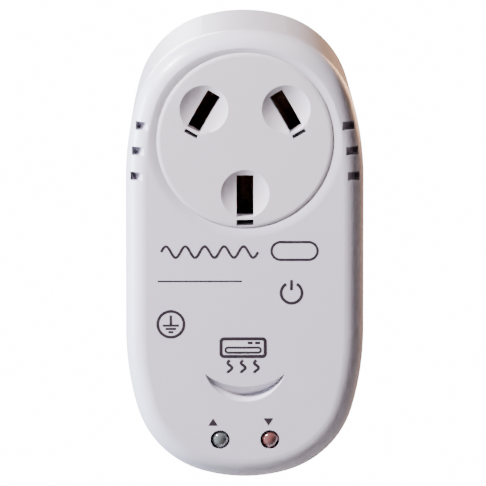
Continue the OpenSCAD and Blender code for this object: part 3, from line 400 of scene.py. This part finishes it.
def recess_cutter(name, across=32, along=72):
    """What the thumb recess takes away: its section follows the arc and narrows towards both tips."""
    bm = bmesh.new()
    rows = []
    for i in range(along + 1):
        a = math.radians(-90 + RECESS_SPREAD * (2 * i / along - 1))
        drop = (BELLY_Z - ARC_Z) * math.sin(a)
        reach = drop + math.sqrt(drop * drop + BELLY_R * BELLY_R - (BELLY_Z - ARC_Z) ** 2)
        width = reach - ARC_R
        deepest = RECESS_DEPTH * (width / RECESS_W) ** RECESS_TAPER
        section = []
        for k in range(across + 1):
            share = k / across
            section.append((ARC_R + width * share, FACE_Y - CUT_LIFT + deepest * recess_depth(share)))
        section += [(reach, FACE_Y - CUT_REACH), (ARC_R, FACE_Y - CUT_REACH)]
        spot = [Vector((r * math.cos(a), y, r * math.sin(a) + ARC_Z)) for r, y in section]
        rows.append([bm.verts.new(p * MM) for p in spot])
    return closed_loft(name, bm, rows, False)


def as_mesh(obj, name):
    """What the object's modifiers make of it, as a mesh of its own."""
    mesh = bpy.data.meshes.new_from_object(obj.evaluated_get(bpy.context.evaluated_depsgraph_get()))
    mesh.name = name
    return mesh


def soft_rimmed(node, rim, material, slot, *more):
    """The node's own shape with a soft rim and more (tool, operation) done to it, as its stand-in."""
    bm = bmesh.new()
    bm.from_mesh(NODES[node].data)
    bmesh.ops.remove_doubles(bm, verts=bm.verts, dist=SAME_POINT)
    whole = bpy.data.meshes.new(node + "_whole")
    bm.to_mesh(whole)
    bm.free()
    body = bpy.data.objects.new(node + "_whole", whole)
    bpy.context.scene.collection.objects.link(body)
    cutter = turned(node + "_cutter", roll_section(*rim))
    tools = [(cutter, "DIFFERENCE"), *more]
    for tool, operation in tools:
        cut = body.modifiers.new(operation.lower(), "BOOLEAN")
        cut.operation, cut.solver, cut.object = operation, "EXACT", tool
    body.data = as_mesh(body, node + "_cut")
    body.modifiers.clear()
    body.data.shade_smooth()
    body.data.set_sharp_from_angle(angle=SHARP_ANGLE)
    level = body.modifiers.new("flat faces stay flat", "WEIGHTED_NORMAL")
    level.keep_sharp = True
    mesh = as_mesh(body, node + "_soft")
    mesh.materials.clear()
    mesh.materials.append(material)
    piece = bpy.data.objects.new(node + "_soft", mesh)
    bpy.context.scene.collection.objects.link(piece)
    for used in [body] + [tool for tool, operation in tools]:
        bpy.data.objects.remove(used)
    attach(piece, "housing")
    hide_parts(node)


bed_section = [(ARC_R + out, FACE_Y + depth) for out, depth in RECESS_BED]
bed_half = RECESS_SPREAD + BED_MARGIN
recess_bed = turned("recess_bed", bed_section, ARC_Z, -90.0 - bed_half, 2 * bed_half, BED_STEPS)
recess_cut = recess_cutter("recess_cut")
shoulder = turned("shoulder", [(radius, FACE_Y + depth) for radius, depth in SHOULDER])
soft_rimmed("front_shell", SHELL_RIM, SHELL, "shell", (recess_bed, "UNION"), (recess_cut, "DIFFERENCE"))
soft_rimmed("socket_face", DISC_RIM, SOCKET, "socket", (shoulder, "UNION"))

# Printed marks

# how far the ink reaches into the face and stands out from it
INK_IN, INK_OUT = 0.01, 0.02
# a step shorter than this has no direction, and a corner's mitre is no longer than this allows
NO_LENGTH, MITRE_LIMIT = 1e-9, 0.4

# places are pixels of the photograph, sizes and line widths are millimetres
PILL_AT, PILL_W, PILL_H, PILL_R, PILL_LINE = (294.5, 251), 7.7, 3.0, 1.5, 0.42
RULE_FROM, RULE_TO, RULE_LINE = (157.5, 281.3), (242, 281.3), 0.26
MAINS_FROM, MAINS_TO, MAINS_LINE = (161, 252.0), (258, 252.0), 0.44
MAINS_TURNS, MAINS_SWING, MAINS_STEPS = 5, 0.95, 240
UNIT_AT, UNIT_W, UNIT_H, UNIT_R, UNIT_LINE = (243.1, 347.8), 7.4, 3.0, 0.5, 0.56
LOUVRE_DROP, LOUVRE_W, LOUVRE_H, LOUVRE_R, LOUVRE_LINE = 0.42, 5.9, 0.86, 0.4, 0.36
DASH_RISE, DASH_LINE, DASHES = 0.8, 0.42, ((0.75, 1.6), (2.0, 2.85))
STANDBY_AT, STANDBY_R, STANDBY_LINE = (291.5, 293), 1.75, 0.5
STANDBY_START, STANDBY_END, STANDBY_BAR = 120, 420, (0.45, 2.2)
EARTH_AT, EARTH_R, EARTH_RING_LINE = (170.7, 324.3), 2.2, 0.48
EARTH_STEM, EARTH_STEM_LINE, EARTH_BAR_LINE = (1.5, -0.1), 0.44, 0.38
# half width and height of each bar of the earth sign
EARTH_BARS = ((1.35, -0.22), (0.88, -0.78), (0.42, -1.34))
ARROW_ROW, ARROW_HALF, ARROW_RISE = 422.5, 0.82, 0.64
# the column of each arrowhead, and 1 where it points up
ARROWS = ((213, 1), (268.5, -1))
HEAT_COUNT, HEAT_FIRST, HEAT_LAST_X = 3, (229.8, 360.5), 256.4
HEAT_LENGTH, HEAT_SWING, HEAT_LINE_R, HEAT_OUT = 2.15, -0.36, 0.25, 0.005
HEAT_TURNS, HEAT_POINTS, HEAT_SIDES, HEAT_FLAT = 1.25, 33, 8, 0.08


def stroke(bm, points, width, closed=False):
    """A flat printed line of even width through face points, as a thin closed slab."""
    y_in, y_out = FACE_Y + INK_IN, FACE_Y - INK_OUT
    n = len(points)
    sides = []
    for i, p in enumerate(points):
        before = points[(i - 1) % n] if closed or i else p
        after = points[(i + 1) % n] if closed or i < n - 1 else p
        a, b = (p - before), (after - p)
        a = a.normalized() if a.length > NO_LENGTH else b.normalized()
        b = b.normalized() if b.length > NO_LENGTH else a
        along = (a + b).normalized()
        across = Vector((-along[1], along[0]))
        reach = width / 2 / max(MITRE_LIMIT, across.dot(Vector((-a[1], a[0]))))
        sides.append((p + across * reach, p - across * reach))
    rows = []
    for left, right in sides:
        corners = ((left, y_out), (right, y_out), (right, y_in), (left, y_in))
        rows.append([bm.verts.new(Vector((q[0], y, q[1])) * MM) for q, y in corners])
    last = n if closed else n - 1
    for i in range(last):
        a, b = rows[i], rows[(i + 1) % n]
        for k in range(4):
            bm.faces.new((a[k], a[(k + 1) % 4], b[(k + 1) % 4], b[k]))
    if not closed:
        bm.faces.new(rows[0][::-1])
        bm.faces.new(rows[-1])


def patch(bm, points):
    """A filled printed shape inside a ring of face points."""
    out = [bm.verts.new(Vector((p[0], FACE_Y - INK_OUT, p[1])) * MM) for p in points]
    deep = [bm.verts.new(Vector((p[0], FACE_Y + INK_IN, p[1])) * MM) for p in points]
    bm.faces.new(out)
    bm.faces.new(deep[::-1])
    for i in range(len(points)):
        k = (i + 1) % len(points)
        bm.faces.new((out[i], deep[i], deep[k], out[k]))


def rounded_ring(centre, w, h, r, steps=6):
    """Points round a rectangle with rounded corners."""
    points = []
    for sx, sz, start in ((1, 1, 0), (-1, 1, 90), (-1, -1, 180), (1, -1, 270)):
        for i in range(steps + 1):
            a = math.radians(start + 90 * i / steps)
            corner = Vector((sx * (w / 2 - r), sz * (h / 2 - r)))
            points.append(centre + corner + r * Vector((math.cos(a), math.sin(a))))
    return points


def arc(centre, r, start, end, steps=32):
    """Points along an arc, from one angle to another in degrees."""
    return [
        centre + Vector((r * math.cos(math.radians(a)), r * math.sin(math.radians(a))))
        for a in (start + (end - start) * i / steps for i in range(steps + 1))
    ]


def printed_piece(name, bm, material):
    """bm as a plain mesh object at the origin that rides on the housing."""
    bmesh.ops.recalc_face_normals(bm, faces=bm.faces)
    mesh = bpy.data.meshes.new(name)
    bm.to_mesh(mesh)
    bm.free()
    mesh.materials.append(material)
    obj = bpy.data.objects.new(name, mesh)
    bpy.context.scene.collection.objects.link(obj)
    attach(obj, "housing")
    return obj


def ink_marks():
    """Pill outline, rule, pictogram, standby and earth signs, up and down arrowheads, mains wave."""
    bm = bmesh.new()
    stroke(bm, rounded_ring(on_face(*PILL_AT), PILL_W, PILL_H, PILL_R, 10), PILL_LINE, closed=True)
    stroke(bm, [on_face(*RULE_FROM), on_face(*RULE_TO)], RULE_LINE)
    left, right = on_face(*MAINS_FROM), on_face(*MAINS_TO)
    wave = []
    for i in range(MAINS_STEPS + 1):
        lift = MAINS_SWING * math.sin(2 * math.pi * MAINS_TURNS * i / MAINS_STEPS)
        wave.append(left.lerp(right, i / MAINS_STEPS) + Vector((0, lift)))
    stroke(bm, wave, MAINS_LINE)
    unit = on_face(*UNIT_AT)
    stroke(bm, rounded_ring(unit, UNIT_W, UNIT_H, UNIT_R), UNIT_LINE, closed=True)
    louvre = unit + Vector((0, -LOUVRE_DROP))
    stroke(bm, rounded_ring(louvre, LOUVRE_W, LOUVRE_H, LOUVRE_R, 4), LOUVRE_LINE, closed=True)
    for x0, x1 in DASHES:
        stroke(bm, [unit + Vector((x0, DASH_RISE)), unit + Vector((x1, DASH_RISE))], DASH_LINE)
    standby = on_face(*STANDBY_AT)
    stroke(bm, arc(standby, STANDBY_R, STANDBY_START, STANDBY_END), STANDBY_LINE)
    stroke(bm, [standby + Vector((0, z)) for z in STANDBY_BAR], STANDBY_LINE)
    earth = on_face(*EARTH_AT)
    stroke(bm, arc(earth, EARTH_R, 0, 360)[:-1], EARTH_RING_LINE, closed=True)
    stroke(bm, [earth + Vector((0, z)) for z in EARTH_STEM], EARTH_STEM_LINE)
    for w, z in EARTH_BARS:
        stroke(bm, [earth + Vector((-w, z)), earth + Vector((w, z))], EARTH_BAR_LINE)
    for px, tip in ARROWS:
        c = on_face(px, ARROW_ROW)
        rise = ARROW_RISE * tip
        corners = ((0, rise), (-ARROW_HALF, -rise), (ARROW_HALF, -rise))
        patch(bm, [c + Vector(corner) for corner in corners])
    return printed_piece("ink_marks", bm, INK)


def tree_with(name, inputs):
    """A geometry tree with named inputs (name, type) and one mesh output."""
    tree = bpy.data.node_groups.new(name, "GeometryNodeTree")
    for label, kind in inputs:
        tree.interface.new_socket(label, in_out="INPUT", socket_type=kind)
    tree.interface.new_socket("Geometry", in_out="OUTPUT", socket_type="NodeSocketGeometry")
    return tree, tree.nodes.new("NodeGroupInput"), tree.nodes.new("NodeGroupOutput")


def grown(name, tree, values):
    """Runs a geometry tree with given input values and keeps the result as a plain mesh on the housing."""
    seed = bpy.data.objects.new(name + "_seed", bpy.data.meshes.new(name + "_seed"))
    bpy.context.scene.collection.objects.link(seed)
    mod = seed.modifiers.new("grow", "NODES")
    mod.node_group = tree
    for item in tree.interface.items_tree:
        if item.in_out == "INPUT" and item.name in values:
            mod[item.identifier] = values[item.name]
    seen = seed.evaluated_get(bpy.context.evaluated_depsgraph_get())
    mesh = bpy.data.meshes.new_from_object(seen)
    mesh.name = name
    obj = bpy.data.objects.new(name, mesh)
    bpy.context.scene.collection.objects.link(obj)
    bpy.data.objects.remove(seed)
    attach(obj, "housing")
    return obj


def heat_waves():
    """The three wavy lines below the pictogram: one line drawn by a sine, set out in a row."""
    tree, given, made = tree_with(
        "heat_waves",
        [
            ("Count", "NodeSocketInt"),
            ("Pitch", "NodeSocketFloat"),
            ("Length", "NodeSocketFloat"),
            ("Swing", "NodeSocketFloat"),
            ("Line Radius", "NodeSocketFloat"),
            ("Centre", "NodeSocketVector"),
        ],
    )
    link = tree.links.new

    def node(kind, **props):
        added = tree.nodes.new(kind)
        for key, value in props.items():
            setattr(added, key, value)
        return added

    line = node("GeometryNodeCurvePrimitiveLine")
    down = node("ShaderNodeCombineXYZ")
    minus = node("ShaderNodeMath", operation="MULTIPLY")
    minus.inputs[1].default_value = -1.0
    link(given.outputs["Length"], minus.inputs[0])
    link(minus.outputs[0], down.inputs["Z"])
    link(down.outputs[0], line.inputs["End"])
    fine = node("GeometryNodeResampleCurve")
    fine.inputs["Count"].default_value = HEAT_POINTS
    link(line.outputs["Curve"], fine.inputs["Curve"])
    share = node("GeometryNodeSplineParameter")
    angle = node("ShaderNodeMath", operation="MULTIPLY")
    angle.inputs[1].default_value = 2 * math.pi * HEAT_TURNS
    link(share.outputs["Factor"], angle.inputs[0])
    sine = node("ShaderNodeMath", operation="SINE")
    link(angle.outputs[0], sine.inputs[0])
    swing = node("ShaderNodeMath", operation="MULTIPLY")
    link(sine.outputs[0], swing.inputs[0])
    link(given.outputs["Swing"], swing.inputs[1])
    aside = node("ShaderNodeCombineXYZ")
    link(swing.outputs[0], aside.inputs["X"])
    bend = node("GeometryNodeSetPosition")
    link(fine.outputs["Curve"], bend.inputs["Geometry"])
    link(aside.outputs[0], bend.inputs["Offset"])
    profile = node("GeometryNodeCurvePrimitiveCircle")
    profile.inputs["Resolution"].default_value = HEAT_SIDES
    link(given.outputs["Line Radius"], profile.inputs["Radius"])
    tube = node("GeometryNodeCurveToMesh")
    tube.inputs["Fill Caps"].default_value = True
    link(bend.outputs["Geometry"], tube.inputs["Curve"])
    link(profile.outputs["Curve"], tube.inputs["Profile Curve"])
    flat = node("GeometryNodeTransform")
    flat.inputs["Scale"].default_value = (1.0, HEAT_FLAT, 1.0)
    link(tube.outputs["Mesh"], flat.inputs["Geometry"])
    row = node("GeometryNodeMeshLine")
    step = node("ShaderNodeCombineXYZ")
    link(given.outputs["Pitch"], step.inputs["X"])
    link(given.outputs["Count"], row.inputs["Count"])
    link(given.outputs["Centre"], row.inputs["Start Location"])
    link(step.outputs[0], row.inputs["Offset"])
    place = node("GeometryNodeInstanceOnPoints")
    link(row.outputs["Mesh"], place.inputs["Points"])
    link(flat.outputs["Geometry"], place.inputs["Instance"])
    real = node("GeometryNodeRealizeInstances")
    link(place.outputs["Instances"], real.inputs["Geometry"])
    look = node("GeometryNodeSetMaterial")
    look.inputs["Material"].default_value = INK
    link(real.outputs["Geometry"], look.inputs["Geometry"])
    link(look.outputs["Geometry"], made.inputs["Geometry"])
    first = on_face(*HEAT_FIRST)
    pitch = (on_face(HEAT_LAST_X, HEAT_FIRST[1])[0] - first[0]) / (HEAT_COUNT - 1)
    values = {
        "Count": HEAT_COUNT,
        "Pitch": pitch * MM,
        "Length": HEAT_LENGTH * MM,
        "Swing": HEAT_SWING * MM,
        "Line Radius": HEAT_LINE_R * MM,
        "Centre": Vector((first[0], FACE_Y - HEAT_OUT, first[1])) * MM,
    }
    return grown("heat_waves", tree, values)


ink_marks()
heat_waves()

# Studio


def studio_floor(name, reach, height, material):
    """A square sheet, wide enough to fill the view from any side."""
    bm = bmesh.new()
    corners = [(-reach, -reach), (reach, -reach), (reach, reach), (-reach, reach)]
    bm.faces.new([bm.verts.new(Vector((x, y, height)) * MM) for x, y in corners])
    mesh = bpy.data.meshes.new(name)
    bm.to_mesh(mesh)
    bm.free()
    mesh.materials.append(material)
    obj = bpy.data.objects.new(name, mesh)
    bpy.context.scene.collection.objects.link(obj)
    return obj


# how bright the ground is, so that it comes out pure white as in the photograph
WHITE_OUT = 16.0


def seen_white(tree, lit):
    """White where the camera looks straight at it, and lit for all light that falls on the part."""
    white = tree.nodes.new("ShaderNodeEmission" if lit.node.type != "BACKGROUND" else "ShaderNodeBackground")
    white.inputs["Color"].default_value = (1, 1, 1, 1)
    white.inputs["Strength"].default_value = WHITE_OUT
    path = tree.nodes.new("ShaderNodeLightPath")
    mixed = tree.nodes.new("ShaderNodeMixShader")
    tree.links.new(path.outputs["Is Camera Ray"], mixed.inputs["Fac"])
    tree.links.new(lit, mixed.inputs[1])
    tree.links.new(white.outputs[0], mixed.inputs[2])
    return mixed.outputs[0]


def paper(name, colour):
    """The floor: white to the camera, as the photograph's ground is, and grey to the light on it."""
    mat = bpy.data.materials.new(name)
    mat.use_nodes = True
    tree = mat.node_tree
    shader = tree.nodes["Principled BSDF"]
    shader.inputs["Base Color"].default_value = rgba(colour)
    shader.inputs["Roughness"].default_value = 0.9
    tree.links.new(seen_white(tree, shader.outputs[0]), tree.nodes["Material Output"].inputs["Surface"])
    return mat


# the part hangs over the floor, as it does in a wall outlet
FLOOR_DROP, FLOOR_REACH = 150.0, 5000.0
PAPER_GREY = (0.19, 0.18, 0.18)
studio_floor("studio_floor", FLOOR_REACH, SHELL_FOOT - FLOOR_DROP, paper("studio_paper", PAPER_GREY))
# where the lights are aimed
LIT_SPOT = (0, -20, -20)


def softbox(name, place, size, watts, colour):
    """A soft light that the camera doesn't see, at a place and of a size in millimetres."""
    data = bpy.data.lights.new(name, "AREA")
    data.shape = "RECTANGLE"
    data.size, data.size_y = size[0] * MM, size[1] * MM
    data.energy = watts
    data.color = colour
    obj = bpy.data.objects.new(name, data)
    obj.location = Vector(place) * MM
    obj.rotation_euler = (Vector(LIT_SPOT) * MM - obj.location).to_track_quat("-Z", "Y").to_euler()
    obj.visible_camera = False
    bpy.context.scene.collection.objects.link(obj)
    return obj


# the key models the face and leaves the right side dark; the cool edge light makes the left side bright
softbox("key", (-400, -260, 370), (120, 120), 14.0, (1.0, 0.925, 1.0))
softbox("edge_left", (-700, -75, 30), (200, 300), 17.0, (0.62, 0.78, 1.0))
softbox("back_right", (420, 420, 120), (300, 300), 4.3, (1.0, 0.56, 0.32))
softbox("back_fill", (-300, 800, 350), (400, 400), 12.0, (1.0, 0.95, 0.92))

AIR_COLOUR, AIR_STRENGTH = (1.0, 0.8, 0.74), 0.05
world = bpy.data.worlds.new("studio_air")
world.use_nodes = True
air = world.node_tree.nodes["Background"]
air.inputs["Color"].default_value = rgba(AIR_COLOUR)
air.inputs["Strength"].default_value = AIR_STRENGTH
world_out = world.node_tree.nodes["World Output"].inputs["Surface"]
world.node_tree.links.new(seen_white(world.node_tree, air.outputs[0]), world_out)
bpy.context.scene.world = world

# Camera

AZIMUTH, ELEVATION, REACH = -0.5, 9.2, 1700.0
# the photograph's side and middle in pixels, the sensor's width in millimetres, the clip range in metres
PHOTO_SIDE, PHOTO_MIDDLE = 486, (243, 243)
SENSOR, CLIP = 36.0, (0.05, 20.0)
middle = on_face(*PHOTO_MIDDLE)
aim = Vector((middle[0], FACE_Y, middle[1]))
turn, tilt = math.radians(AZIMUTH), math.radians(ELEVATION)
back = Vector((math.sin(turn) * math.cos(tilt), -math.cos(turn) * math.cos(tilt), math.sin(tilt)))
lens = bpy.data.cameras.new("camera")
camera = bpy.data.objects.new("camera", lens)
camera.location = (aim + back * REACH) * MM
camera.rotation_mode = "QUATERNION"
camera.rotation_quaternion = (-back).to_track_quat("-Z", "Y")
lens.sensor_width = SENSOR
lens.lens = SENSOR * REACH / (PHOTO_SIDE / PX_X)
lens.clip_start, lens.clip_end = CLIP
bpy.context.scene.collection.objects.link(camera)
bpy.context.scene.camera = camera
